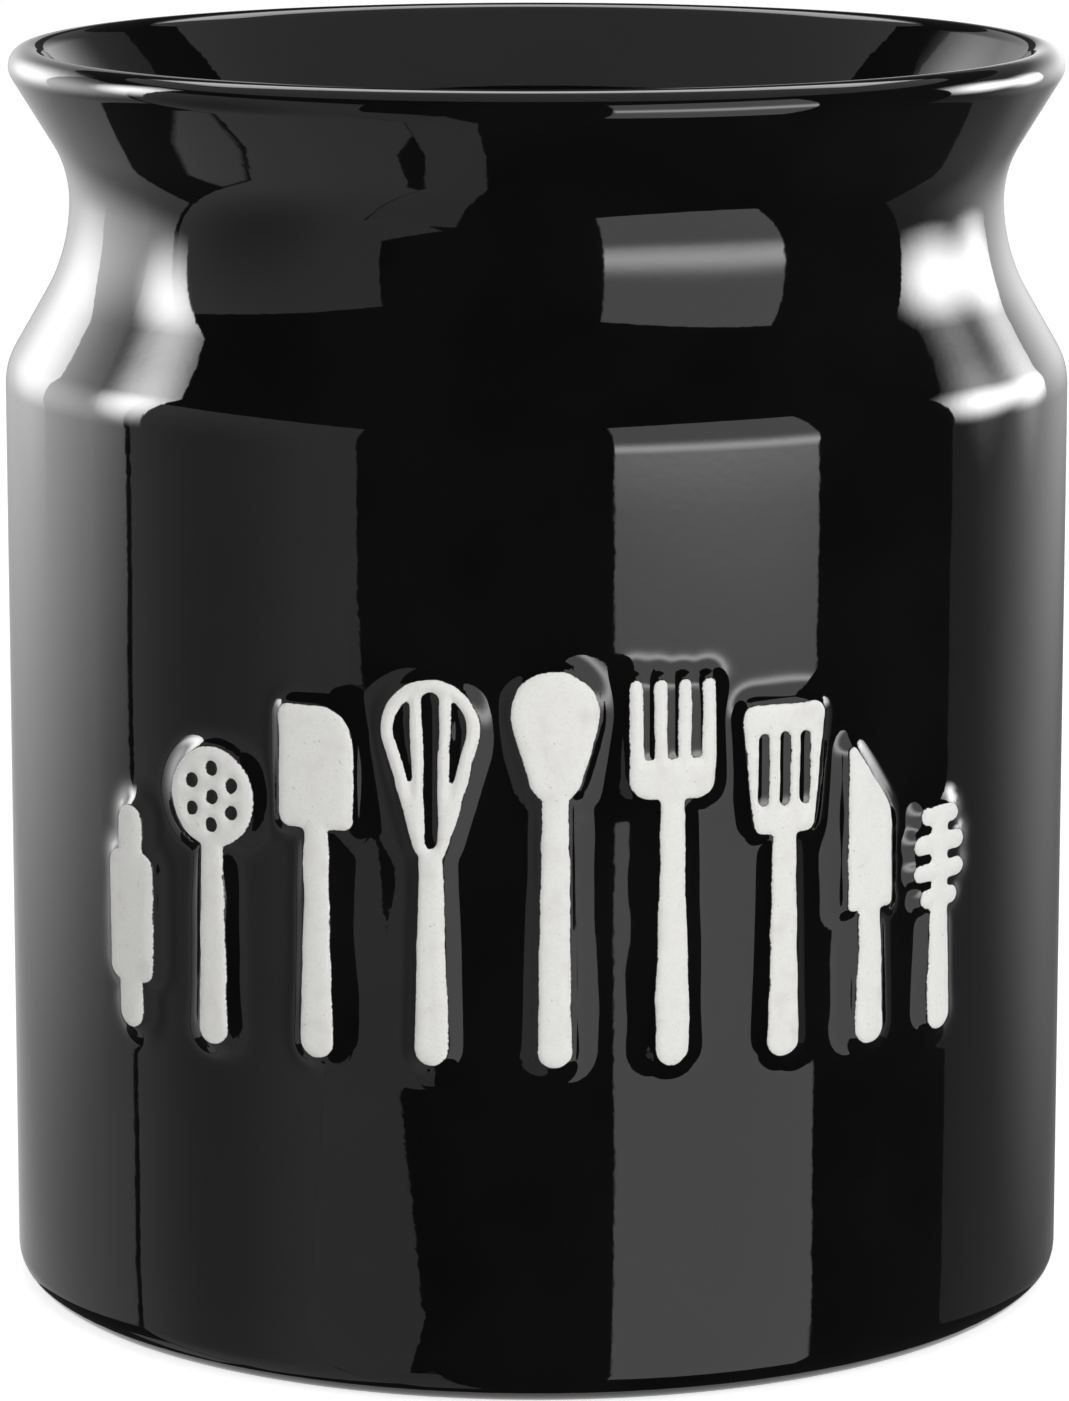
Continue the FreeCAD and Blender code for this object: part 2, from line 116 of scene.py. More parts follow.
def angle(name, description, degrees):
    """An angle, given in degrees."""
    return FloatProperty(name=name, description=description, default=math.radians(degrees), subtype="ANGLE")


def share(name, description, default):
    """A plain number."""
    return FloatProperty(name=name, description=description, default=default, precision=4)


def tint(name, description, default):
    """A colour."""
    return FloatVectorProperty(name=name, description=description, default=default, subtype="COLOR",
                               size=3, min=0, max=1)


class CrockSizes(bpy.types.PropertyGroup):
    """Sizes of the glazed wall, as its section is drawn."""

    total_height: length("Height", "Foot to top of lip", COAT_HIGH[2])
    wall_radius: length("Wall radius", "Axis to the straight wall", COAT_HIGH[0])
    neck_inset: length("Neck inset", "Narrowest ring of the neck inside the straight wall", 0.0095)
    lip_outset: length("Lip outset", "Edge of the lip outside the neck", 0.0085)
    shoulder_angle: angle("Shoulder slope", "Slope of the shoulder from upright", 30)
    lip_angle: angle("Flare slope", "Slope of the flare from upright", 31.4)
    shoulder_radius: length("Shoulder round", "Round of the shoulder in section", 0.010)
    neck_lower_radius: length("Lower hollow", "Hollow from shoulder to neck in section", 0.0275)
    neck_upper_radius: length("Upper hollow", "Hollow from neck to lip in section", 0.016)
    wall_thickness: length("Wall", "Wall with both glaze coats", 0.0056)
    glaze_thickness: length("Glaze", "One glaze coat", 0.0005)
    base_round: length("Bottom round", "Round of the bottom edge in section", 0.0045)
    foot_height: length("Glaze line", "Lowest edge of the glaze above the table", COAT_LOW[2])
    floor_height: length("Floor", "Glazed floor inside above the table", 0.009)
    floor_round: length("Floor round", "Inside round between floor and wall", 0.009)
    collar_reach: length("Collar reach", "Width of the glaze that climbs a motif", 0.0038)
    collar_gap: length("Collar gap", "Bare clay edge between the collar and a motif's crown", 0.00042)
    collar_stray: share("Collar stray", "How much the width of a collar varies", 0.22)
    grain: length("Glaze mesh", "Mesh size of the glaze around the motifs", 0.00062)


class GlazeFinish(bpy.types.PropertyGroup):
    """Gloss black glaze."""

    deep: tint("Deep black", "Glaze where it lies thick", (0.0014, 0.0014, 0.0016))
    thin: tint("Thin black", "Glaze where it lies thin", (0.0032, 0.0031, 0.0032))
    gloss: share("Smoothest", "Roughness where the glaze is smoothest", 0.012)
    haze: share("Roughest", "Roughness where the glaze is roughest", 0.04)
    ripple: length("Ripple", "Height of the slow waves left by pouring", 0.00014, 7)
    neck_ripple: share("Neck ripple", "How much higher the waves are round the neck", 2.5)
    peel: length("Peel", "Height of the fine dimples of the glaze", 0.000004, 7)


class ClayFinish(bpy.types.PropertyGroup):
    """Bare fired clay."""

    pale: tint("Pale clay", "Clean bare clay", (0.83, 0.825, 0.805))
    warm: tint("Warm clay", "Clay with a trace of stain", (0.74, 0.725, 0.695))
    speck: tint("Speck", "Iron specks and pores", (0.36, 0.33, 0.29))
    bare_line: length("Bare line", "Depth below the crown at which the wiped glaze begins", 0.00047, 6)
    pillow: length("Pillow", "How far a motif's crown falls away at its edge", 0.0003, 6)
    pillow_width: length("Pillow width", "Edge over which the crown falls away", 0.0017, 6)
    voxel: length("Clay mesh", "Mesh size of the motifs", 0.00022, 6)


class StudioSettings(bpy.types.PropertyGroup):
    """Camera, floor and room."""

    camera_distance: length("Camera distance", "Camera in front of the crock's axis", 0.90385)
    camera_aside: length("Camera aside", "Camera to the right of the crock's axis", -0.0003)
    camera_height: length("Camera height", "Camera above the floor", 0.25786)
    camera_tilt: FloatProperty(name="Camera tilt", description="Camera below the horizon", default=0.1895,
                               subtype="ANGLE")
    lens: FloatProperty(name="Lens", description="Focal length on a 36 mm sensor", default=160.9,
                        unit="CAMERA")
    stage_radius: length("Stage radius", "Axis to the backdrop", 2.6)
    stage_height: length("Stage height", "Floor to the top of the backdrop", 2.4)
    near_floor: length("Near floor", "Floor close enough to show in the foot of the crock", 0.0762)
    paper: tint("Paper", "Floor and backdrop", (0.86, 0.86, 0.855))
    paper_glow: share("Paper glow", "Light of the paper itself, seen directly or in a gloss", 0.76)
    room: share("Room", "Faint light of the dark room", 0.05)


class SectionPen:
    """Draws a wall section into a mesh, point by point, the way a template is run along a turned wall."""

    def __init__(self, mesh, x, z, heading):
        self.mesh = mesh
        self.heading = heading
        self.point = bmesh.ops.create_vert(mesh, co=(x, 0, z))["vert"][0]

    def along(self, heading, distance):
        return Vector((math.cos(heading), 0, math.sin(heading))) * distance

    def run(self, distance, steps):
        """Go straight on."""
        step = self.along(self.heading, distance / steps)
        for _ in range(steps):
            grown = bmesh.ops.extrude_vert_indiv(self.mesh, verts=[self.point])
            self.point = grown["verts"][0]
            bmesh.ops.translate(self.mesh, verts=[self.point], vec=step)

    def climb(self, height, steps):
        """Go straight up or down to a height."""
        self.run(abs(height - self.point.co.z), steps)

    def turn(self, radius, swing, steps):
        """Go round an arc, to the left for a positive swing."""
        centre = self.point.co + self.along(self.heading + math.copysign(math.pi / 2, swing), radius)
        swept = bmesh.ops.spin(self.mesh, geom=[self.point], cent=centre, axis=(0, -1, 0), dvec=(0, 0, 0),
                               angle=swing, steps=steps, use_duplicate=False)
        self.point = next(item for item in swept["geom_last"] if isinstance(item, bmesh.types.BMVert))
        self.heading += swing


def slope_length(lean, reach, shift):
    """Straight run between a round and a hollow that together shift a wall sideways."""
    return (shift - reach * (1 - math.cos(lean))) / math.sin(lean)


def slope_rise(lean, reach, shift):
    """Height over which that shift happens."""
    return reach * math.sin(lean) + slope_length(lean, reach, shift) * math.cos(lean)


def draw_wall(pen, sizes, depth, bands, arc_steps, neck_steps):
    """Run the pen at a depth below the finished skin: round the bottom edge, up the outside, over the lip
    and down the inside to the middle of the floor. bands lists (height, rows) up the straight wall,
    arc_steps gives a count for a full turn of arc, and each arc of the neck has neck_steps."""
    wall = sizes.wall_thickness
    lip_round = wall / 2
    shoulder_reach = sizes.shoulder_radius + sizes.neck_lower_radius
    lip_reach = sizes.neck_upper_radius + lip_round
    cone = slope_length(sizes.shoulder_angle, shoulder_reach, sizes.neck_inset)
    flare = slope_length(sizes.lip_angle, lip_reach, sizes.lip_outset)
    quarter = math.pi / 2

    def arc(radius, swing):
        pen.turn(radius, swing, max(LEAST_ARC_STEPS, round(arc_steps * abs(swing) / math.tau)))

    def neck_arc(radius, swing):
        pen.turn(radius, swing, neck_steps)

    arc(sizes.base_round - depth, quarter)
    for height, rows in bands:
        pen.climb(height, rows)
    neck_arc(sizes.shoulder_radius - depth, sizes.shoulder_angle)
    pen.run(cone, SLOPE_ROWS)
    neck_arc(sizes.neck_lower_radius + depth, -sizes.shoulder_angle)
    neck_arc(sizes.neck_upper_radius + depth, -sizes.lip_angle)
    pen.run(flare, SLOPE_ROWS)
    arc(lip_round - depth, math.pi)
    pen.run(flare, SLOPE_ROWS)
    neck_arc(sizes.neck_upper_radius + wall - depth, sizes.lip_angle)
    neck_arc(sizes.neck_lower_radius + wall - depth, sizes.shoulder_angle)
    pen.run(cone, SLOPE_ROWS)
    neck_arc(sizes.shoulder_radius - wall + depth, -sizes.shoulder_angle)
    pen.climb(sizes.floor_height + sizes.floor_round, WELL_ROWS)
    arc(sizes.floor_round + depth, -quarter)
    pen.run(pen.point.co.x, FLOOR_ROWS)


def half_row():
    """Half the angle round the wall that the motifs take up, with room for their collars."""
    widest = max(abs(math.atan2(point.x, -point.y)) for point in RELIEF_POINTS)
    return widest + COLLAR_ROOM / CROWN_RADIUS


def close_turn(mesh):
    """Merge the seam of a turned shape, face it outward and put its faces in the order of their points,
    because a spin leaves them in an order of its own."""
    bmesh.ops.remove_doubles(mesh, verts=mesh.verts, dist=MERGE_DISTANCE)
    bmesh.ops.recalc_face_normals(mesh, faces=mesh.faces)
    mesh.verts.index_update()
    count = len(mesh.verts)

    def rank(face):
        first, second, third = sorted(point.index for point in face.verts)[:3]
        return (first * count + second) * count + third

    mesh.faces.sort(key=rank)


def turn_section(mesh, front, front_steps, back_steps):
    """Turn a section once round the axis, fine over the front and coarse behind."""
    bmesh.ops.rotate(mesh, verts=mesh.verts, cent=(0, 0, 0),
                     matrix=Matrix.Rotation(-math.pi / 2 - front, 3, "Z"))
    edge = mesh.verts[:] + mesh.edges[:]
    for sweep, steps in ((2 * front, front_steps), (math.tau - 2 * front, back_steps)):
        swept = bmesh.ops.spin(mesh, geom=edge, cent=(0, 0, 0), axis=(0, 0, 1), dvec=(0, 0, 0),
                               angle=sweep, steps=steps, use_duplicate=False)
        edge = [item for item in swept["geom_last"] if not isinstance(item, bmesh.types.BMFace)]
    close_turn(mesh)


def smooth(mesh, points, passes):
    """Even out points towards their neighbours."""
    for _ in range(passes):
        bmesh.ops.smooth_vert(mesh, verts=points, factor=0.5,
                              use_axis_x=True, use_axis_y=True, use_axis_z=True)


def outward(point):
    """Level direction from the axis to a point."""
    return Vector((point.x, point.y, 0)).normalized()


def relief_tree():
    """Search tree over all the raised motifs."""
    mesh = bmesh.new()
    for name in RELIEFS:
        mesh.from_mesh(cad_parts[name].data)
    tree = BVHTree.FromBMesh(mesh)
    mesh.free()
    return tree


def raise_collars(mesh, sizes, low, high, front):
    """Let the glaze climb the sides of the motifs, as it does where it pools while wet."""
    tree = relief_tree()
    climb = CROWN_RADIUS - sizes.wall_radius - sizes.collar_gap
    skin_depth = sizes.glaze_thickness / 2
    zone = []
    for point in mesh.verts:
        on_skin = abs(math.hypot(point.co.x, point.co.y) - sizes.wall_radius) < skin_depth
        facing = abs(math.atan2(point.co.x, -point.co.y)) < front
        if on_skin and facing and low < point.co.z < high:
            zone.append(point)
    for point in zone:
        out = outward(point.co)
        probe = out * CROWN_RADIUS
        probe.z = point.co.z
        stray = sizes.collar_stray * noise.noise(probe * COLLAR_WAVES_PER_METRE)
        reach = sizes.collar_reach * (1 + stray)
        near = tree.find_nearest(probe, reach)[3]
        if near is not None:
            point.co += out * climb * (1 - near / reach) ** COLLAR_POWER
    smooth(mesh, zone, COLLAR_SMOOTHING)


def link_mesh(name, mesh, material):
    """Make an object of a finished mesh."""
    data = bpy.data.meshes.new(name)
    mesh.to_mesh(data)
    mesh.free()
    data.shade_smooth()
    data.materials.append(material)
    made = bpy.data.objects.new(name, data)
    bpy.context.scene.collection.objects.link(made)
    return made


def add_piece(name, mesh, material, node):
    """Make an object that stands for a CAD node."""
    piece = link_mesh(name, mesh, material)
    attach(piece, "root")
    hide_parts(node)
    return piece


class Finish:
    """A material and the short calls that wire its nodes."""

    def __init__(self, name):
        self.material = bpy.data.materials.get(name)
        self.known = self.material is not None
        if not self.known:
            self.material = bpy.data.materials.new(name)
            self.material.use_nodes = True
            self.tree = self.material.node_tree
            self.tree.nodes.clear()

    def node(self, kind, settings=None, **sockets):
        """Add a node; a socket's value is a number, a colour or another node's output."""
        made = self.tree.nodes.new("ShaderNode" + kind)
        for name, value in (settings or {}).items():
            setattr(made, name, value)
        for name, value in sockets.items():
            key = int(name[1:]) if name[0] == "_" else name.replace("_", " ")
            self.feed(made.inputs[key], value)
        return made

    def feed(self, socket, value):
        """Link an output to a socket, or set the socket's own value."""
        if isinstance(value, bpy.types.NodeSocket):
            self.tree.links.new(value, socket)
        elif socket.type == "RGBA":
            socket.default_value = (*value, 1)
        else:
            socket.default_value = value

    def place(self):
        """Coordinates of the object itself."""
        return self.node("TexCoord").outputs["Object"]

    def cloud(self, place, per_metre, detail=2.0, roughness=0.5):
        """Noise with so many features to the metre."""
        made = self.node("TexNoise", Vector=place, Scale=per_metre, Detail=detail, Roughness=roughness)
        return made.outputs["Fac"]

    def combine(self, operation, first, second=0.0):
        """One step of arithmetic."""
        return self.node("Math", {"operation": operation}, _0=first, _1=second).outputs[0]

    def spread(self, value, low, high, to_low=0.0, to_high=1.0, smooth=True):
        """Map a range of values to another, held at its ends."""
        kind = "SMOOTHSTEP" if smooth else "LINEAR"
        return self.node("MapRange", {"interpolation_type": kind}, Value=value, From_Min=low, From_Max=high,
                         To_Min=to_low, To_Max=to_high).outputs[0]

    def mix(self, share_of_second, first, second):
        """A colour between two. The node lists its colour sockets after those of its other types."""
        made = self.node("Mix", {"data_type": "RGBA"}, _0=share_of_second, _6=first, _7=second)
        return made.outputs[2]

    def bump(self, height, distance, under=None):
        """A normal bent by a height, on top of another bend where one is given."""
        made = self.node("Bump", Height=height, Distance=distance, Strength=1.0)
        if under is not None:
            self.feed(made.inputs["Normal"], under)
        return made.outputs["Normal"]

    def surface(self, shader):
        """The material, finished with its shader."""
        output = self.node("OutputMaterial")
        self.tree.links.new(shader, output.inputs["Surface"])
        return self.material


def glaze_bumps(finish, place, glaze):
    """Slow waves from pouring and fine dimples from firing."""
    height = finish.node("SeparateXYZ", Vector=place).outputs["Z"]
    unruly = finish.spread(height, CALM_HEIGHT, UNRULY_HEIGHT, 1.0, glaze.neck_ripple)
    slow = finish.cloud(place, per_metre=26, detail=1)
    waves = finish.bump(finish.combine("MULTIPLY", slow, unruly), glaze.ripple)
    dimples = finish.cloud(place, per_metre=700, detail=1)
    return finish.bump(dimples, glaze.peel, waves)


def glaze_material(glaze):
    """Black glaze, deeper where it pooled, with a faint uneven haze."""
    finish = Finish("gloss_black")
    if finish.known:
        return finish.material
    place = finish.place()
    pooling = finish.spread(finish.cloud(place, per_metre=45, detail=3), 0.35, 0.7)
    patches = finish.cloud(place, per_metre=160, detail=4, roughness=0.6)
    haze = finish.spread(patches, 0.3, 0.75, glaze.gloss, glaze.haze)
    colour = finish.mix(pooling, glaze.deep, glaze.thin)
    shader = finish.node("BsdfPrincipled", Base_Color=colour, Roughness=haze, IOR=1.5,
                         Normal=glaze_bumps(finish, place, glaze))
    return finish.surface(shader.outputs[0])


def clay_colour(finish, place, clay):
    """Off-white clay with faint stains, a fine mottle and a few scattered specks."""
    clouds = finish.cloud(place, per_metre=220, detail=4, roughness=0.6)
    stain = finish.spread(clouds, 0.45, 0.8)
    grains = finish.cloud(place, per_metre=2600, detail=3, roughness=0.7)
    mottle = finish.spread(grains, 0.45, 0.75, 0.0, 0.7)
    body = finish.mix(finish.combine("MAXIMUM", stain, mottle), clay.pale, clay.warm)
    specks = finish.node("TexVoronoi", {"feature": "F1"}, Vector=place, Scale=1500.0, Randomness=1.0)
    chosen = finish.spread(finish.cloud(place, per_metre=900, detail=1), 0.6, 0.68)
    spot = finish.spread(specks.outputs["Distance"], 0.1, 0.26, 0.55, 0.0)
    return finish.mix(finish.combine("MULTIPLY", spot, chosen), body, clay.speck)


def clay_bumps(finish, place):
    """Fired grain and a few wider dips."""
    dips = finish.bump(finish.cloud(place, per_metre=350, detail=2), distance=0.00006)
    grain = finish.cloud(place, per_metre=3200, detail=3, roughness=0.65)
    return finish.bump(grain, distance=0.00003, under=dips)


def clay_material(clay):
    """Bare fired clay."""
    finish = Finish("bare_clay")
    if finish.known:
        return finish.material
    place = finish.place()
    rough = finish.spread(finish.cloud(place, per_metre=500, detail=3), 0.3, 0.7, 0.72, 0.9)
    shader = finish.node("BsdfPrincipled", Base_Color=clay_colour(finish, place, clay), Roughness=rough,
                         Normal=clay_bumps(finish, place))
    return finish.surface(shader.outputs[0])


def relief_material(clay, glaze):
    """Bare clay on the crown, with glaze left on the sides below a wiped, slightly wandering line."""
    finish = Finish("wiped_relief")
    if finish.known:
        return finish.material
    place = finish.place()
    level = finish.node("VectorMath", {"operation": "MULTIPLY"}, _0=place, _1=(1.0, 1.0, 0.0))
    radius = finish.node("VectorMath", {"operation": "LENGTH"}, _0=level.outputs["Vector"]).outputs["Value"]
    slow = finish.cloud(place, per_metre=420, detail=3)
    wander = finish.spread(slow, 0.25, 0.75, -WIPE_WANDER, WIPE_WANDER, smooth=False)
    fine = finish.cloud(place, per_metre=2400, detail=2, roughness=0.6)
    crumbs = finish.spread(fine, 0.3, 0.7, -WIPE_CRUMBS, WIPE_CRUMBS, smooth=False)
    line = finish.combine("ADD", finish.combine("ADD", radius, wander), crumbs)
    edge = CROWN_RADIUS - clay.bare_line
    bare = finish.spread(line, edge - WIPE_FADE, edge + WIPE_FADE)
    colour = finish.mix(bare, glaze.deep, clay_colour(finish, place, clay))
    rough = finish.spread(bare, 0.0, 1.0, 0.08, 0.82, smooth=False)
    shader = finish.node("BsdfPrincipled", Base_Color=colour, Roughness=rough,
                         Normal=clay_bumps(finish, place))
    return finish.surface(shader.outputs[0])


class CROCK_OT_glaze_coat(bpy.types.Operator):
    """Turn the glaze coat's section and let it climb the sides of the motifs"""

    bl_idname = "crock.glaze_coat"
    bl_label = "Glaze Coat"

    def shoulder_height(self, sizes):
        """Top of the straight wall, worked down from the lip."""
        lip_round = sizes.wall_thickness / 2
        neck = sizes.total_height - lip_round - slope_rise(
            sizes.lip_angle, sizes.neck_upper_radius + lip_round, sizes.lip_outset)
        return neck - slope_rise(
            sizes.shoulder_angle, sizes.shoulder_radius + sizes.neck_lower_radius, sizes.neck_inset)

    def execute(self, context):
        sizes = context.scene.crock_sizes
        room = sizes.collar_reach + 2 * sizes.grain
        low = min(box[0][2] for box in RELIEF_BOXES) - room
        high = max(box[1][2] for box in RELIEF_BOXES) + room
        shoulder = self.shoulder_height(sizes)
        front = half_row()

        mesh = bmesh.new()
        edge = sizes.wall_radius - sizes.base_round
        zone_rows = round((high - low) / sizes.grain)
        skin = SectionPen(mesh, edge, sizes.foot_height, 0)
        foot = skin.point
        skin_bands = ((low, ROWS_BELOW_MOTIFS), (high, zone_rows), (shoulder, ROWS_ABOVE_MOTIFS))
        draw_wall(skin, sizes, 0, skin_bands, SKIN_ARC_STEPS, SKIN_NECK_STEPS)
        hidden = SectionPen(mesh, edge, sizes.foot_height + sizes.glaze_thickness, 0)
        bmesh.ops.contextual_create(mesh, geom=[foot, hidden.point])
        hidden_bands = ((shoulder, HIDDEN_WALL_ROWS),)
        draw_wall(hidden, sizes, sizes.glaze_thickness, hidden_bands, HIDDEN_ARC_STEPS, HIDDEN_NECK_STEPS)

        turn_section(mesh, front, round(2 * front * CROWN_RADIUS / sizes.grain), BACK_STEPS)
        raise_collars(mesh, sizes, low, high, front)
        material = glaze_material(context.scene.crock_glaze)
        add_piece("glaze_skin", mesh, material, "glaze_coat")
        return {"FINISHED"}


class CROCK_OT_reliefs(bpy.types.Operator):
    """Soften the raised motifs as slip-cast clay is, and wipe the glaze off their crowns"""

    bl_idname = "crock.reliefs"
    bl_label = "Raised Motifs"

    def side_tree(self, mesh):
        """Search tree over the upright sides of a motif."""
        sides = mesh.copy()
        level = [face for face in sides.faces
                 if abs(face.normal.dot(outward(face.calc_center_median()))) > UPRIGHT_LIMIT]
        bmesh.ops.delete(sides, geom=level, context="FACES")
        tree = BVHTree.FromBMesh(sides)
        sides.free()
        return tree

    def even_mesh(self, name, mesh, voxel):
        """The same form in small, even faces."""
        data = bpy.data.meshes.new(name + "_cast")
        mesh.to_mesh(data)
        mesh.free()
        cast = bpy.data.objects.new(name + "_cast", data)
        bpy.context.scene.collection.objects.link(cast)
        remesh = cast.modifiers.new("even_mesh", "REMESH")
        remesh.mode = "VOXEL"
        remesh.voxel_size = voxel
        evened = cast.evaluated_get(bpy.context.evaluated_depsgraph_get())
        even = bmesh.new()
        even.from_mesh(evened.to_mesh())
        evened.to_mesh_clear()
        bpy.data.objects.remove(cast)
        bpy.data.meshes.remove(data)
        return even

    def soften(self, name, clay, wall_radius):
        """A motif with rounded edges and a slightly uneven, pillowy crown."""
        mesh = bmesh.new()
        mesh.from_mesh(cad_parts[name].data)
        bmesh.ops.remove_doubles(mesh, verts=mesh.verts, dist=MERGE_DISTANCE)
        sides = self.side_tree(mesh)
        mesh = self.even_mesh(name, mesh, clay.voxel)
        smooth(mesh, mesh.verts, CAST_SMOOTHING)
        for point in mesh.verts:
            out = outward(point.co)
            height = math.hypot(point.co.x, point.co.y) - wall_radius
            lifted = min(max(height / (CROWN_RADIUS - wall_radius), 0), 1)
            inset = sides.find_nearest(point.co)[3]
            fall = clay.pillow * lifted * max(0, 1 - inset / clay.pillow_width) ** 2
            stray = Vector()
            for per_metre, size in STRAYS:
                stray += noise.noise_vector(point.co * per_metre) * size
            dip = DIP_DEPTH * (1 + noise.noise(point.co * DIPS_PER_METRE)) / 2
            point.co += stray - out * (stray.dot(out) + dip + fall)
        return mesh

    def execute(self, context):
        clay = context.scene.crock_clay
        material = relief_material(clay, context.scene.crock_glaze)
        wall_radius = context.scene.crock_sizes.wall_radius
        noise.seed_set(STRAY_SEED)
        for name in RELIEFS:
            motif = self.soften(name, clay, wall_radius)
            add_piece(name.replace("relief_", "motif_"), motif, material, name)
        return {"FINISHED"}


def dress(node, material):
    """Give a CAD node its material."""
    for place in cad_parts[node].material_slots:
        place.material = material


class CROCK_OT_clay_body(bpy.types.Operator):
    """Give the clay body and its bare foot ring their fired clay"""

    bl_idname = "crock.clay_body"
    bl_label = "Clay Body"

    def execute(self, context):
        dress("crock_body", clay_material(context.scene.crock_clay))
        return {"FINISHED"}


class CROCK_OT_base_glaze(bpy.types.Operator):
    """Glaze the recess of the underside"""

    bl_idname = "crock.base_glaze"
    bl_label = "Base Glaze"

    def execute(self, context):
        dress("base_glaze", glaze_material(context.scene.crock_glaze))
        return {"FINISHED"}


def paper_material(studio):
    """Pale paper that keeps the crock's shadow."""
    finish = Finish("pale_paper")
    if finish.known:
        return finish.material
    path = finish.node("LightPath").outputs
    seen = finish.combine("MAXIMUM", path["Is Camera Ray"], path["Is Glossy Ray"])
    seen = finish.combine("MAXIMUM", seen, path["Is Transmission Ray"])
    diffuse = finish.node("BsdfDiffuse", Color=studio.paper)
    glow = finish.node("Emission", Color=(1.0, 1.0, 1.0),
                       Strength=finish.combine("MULTIPLY", seen, studio.paper_glow))
    both = finish.node("AddShader", _0=diffuse.outputs[0], _1=glow.outputs[0])
    return finish.surface(both.outputs[0])


class Patch(NamedTuple):
    """A brighter or darker oval on a softbox: what it adds, its place from the middle, its reach, and how
    sharply it falls off."""

    strength: float = 0.0
    place: tuple = (0.0, 0.0)
    reach: tuple = (1.0, 1.0)
    sharpness: float = 1.0


def softbox_material(name, size, radiance, edge, patch, clear):
    """Light of a softbox that fades over its edge, with a patch of another strength. A clear one adds its
    light to what is behind it."""
    finish = Finish(name)
    uv = finish.node("SeparateXYZ", Vector=finish.node("TexCoord").outputs["UV"]).outputs
    fade = 1.0
    square = 0.0
    for axis, across, centre, wide in zip((uv["X"], uv["Y"]), size, patch.place, patch.reach):
        off = finish.combine("SUBTRACT", axis, 0.5)
        side = finish.spread(finish.combine("ABSOLUTE", off), 0.5 - edge / across, 0.5, 1.0, 0.0)
        fade = finish.combine("MULTIPLY", side, fade)
        away = finish.combine("SUBTRACT", finish.combine("MULTIPLY", off, across), centre)
        share_of_reach = finish.combine("DIVIDE", away, wide)
        square = finish.combine("ADD", finish.combine("MULTIPLY", share_of_reach, share_of_reach), square)
    near = finish.spread(finish.combine("SQRT", square), 0.0, 1.0, 1.0, 0.0)
    glow = finish.combine("MULTIPLY", finish.combine("POWER", near, patch.sharpness), patch.strength)
    level = finish.combine("MULTIPLY", finish.combine("ADD", glow, radiance), fade)
    shader = finish.node("Emission", Color=(1.0, 1.0, 1.0), Strength=level)
    if clear:
        through = finish.node("BsdfTransparent")
        shader = finish.node("AddShader", _0=through.outputs[0], _1=shader.outputs[0])
    return finish.surface(shader.outputs[0])


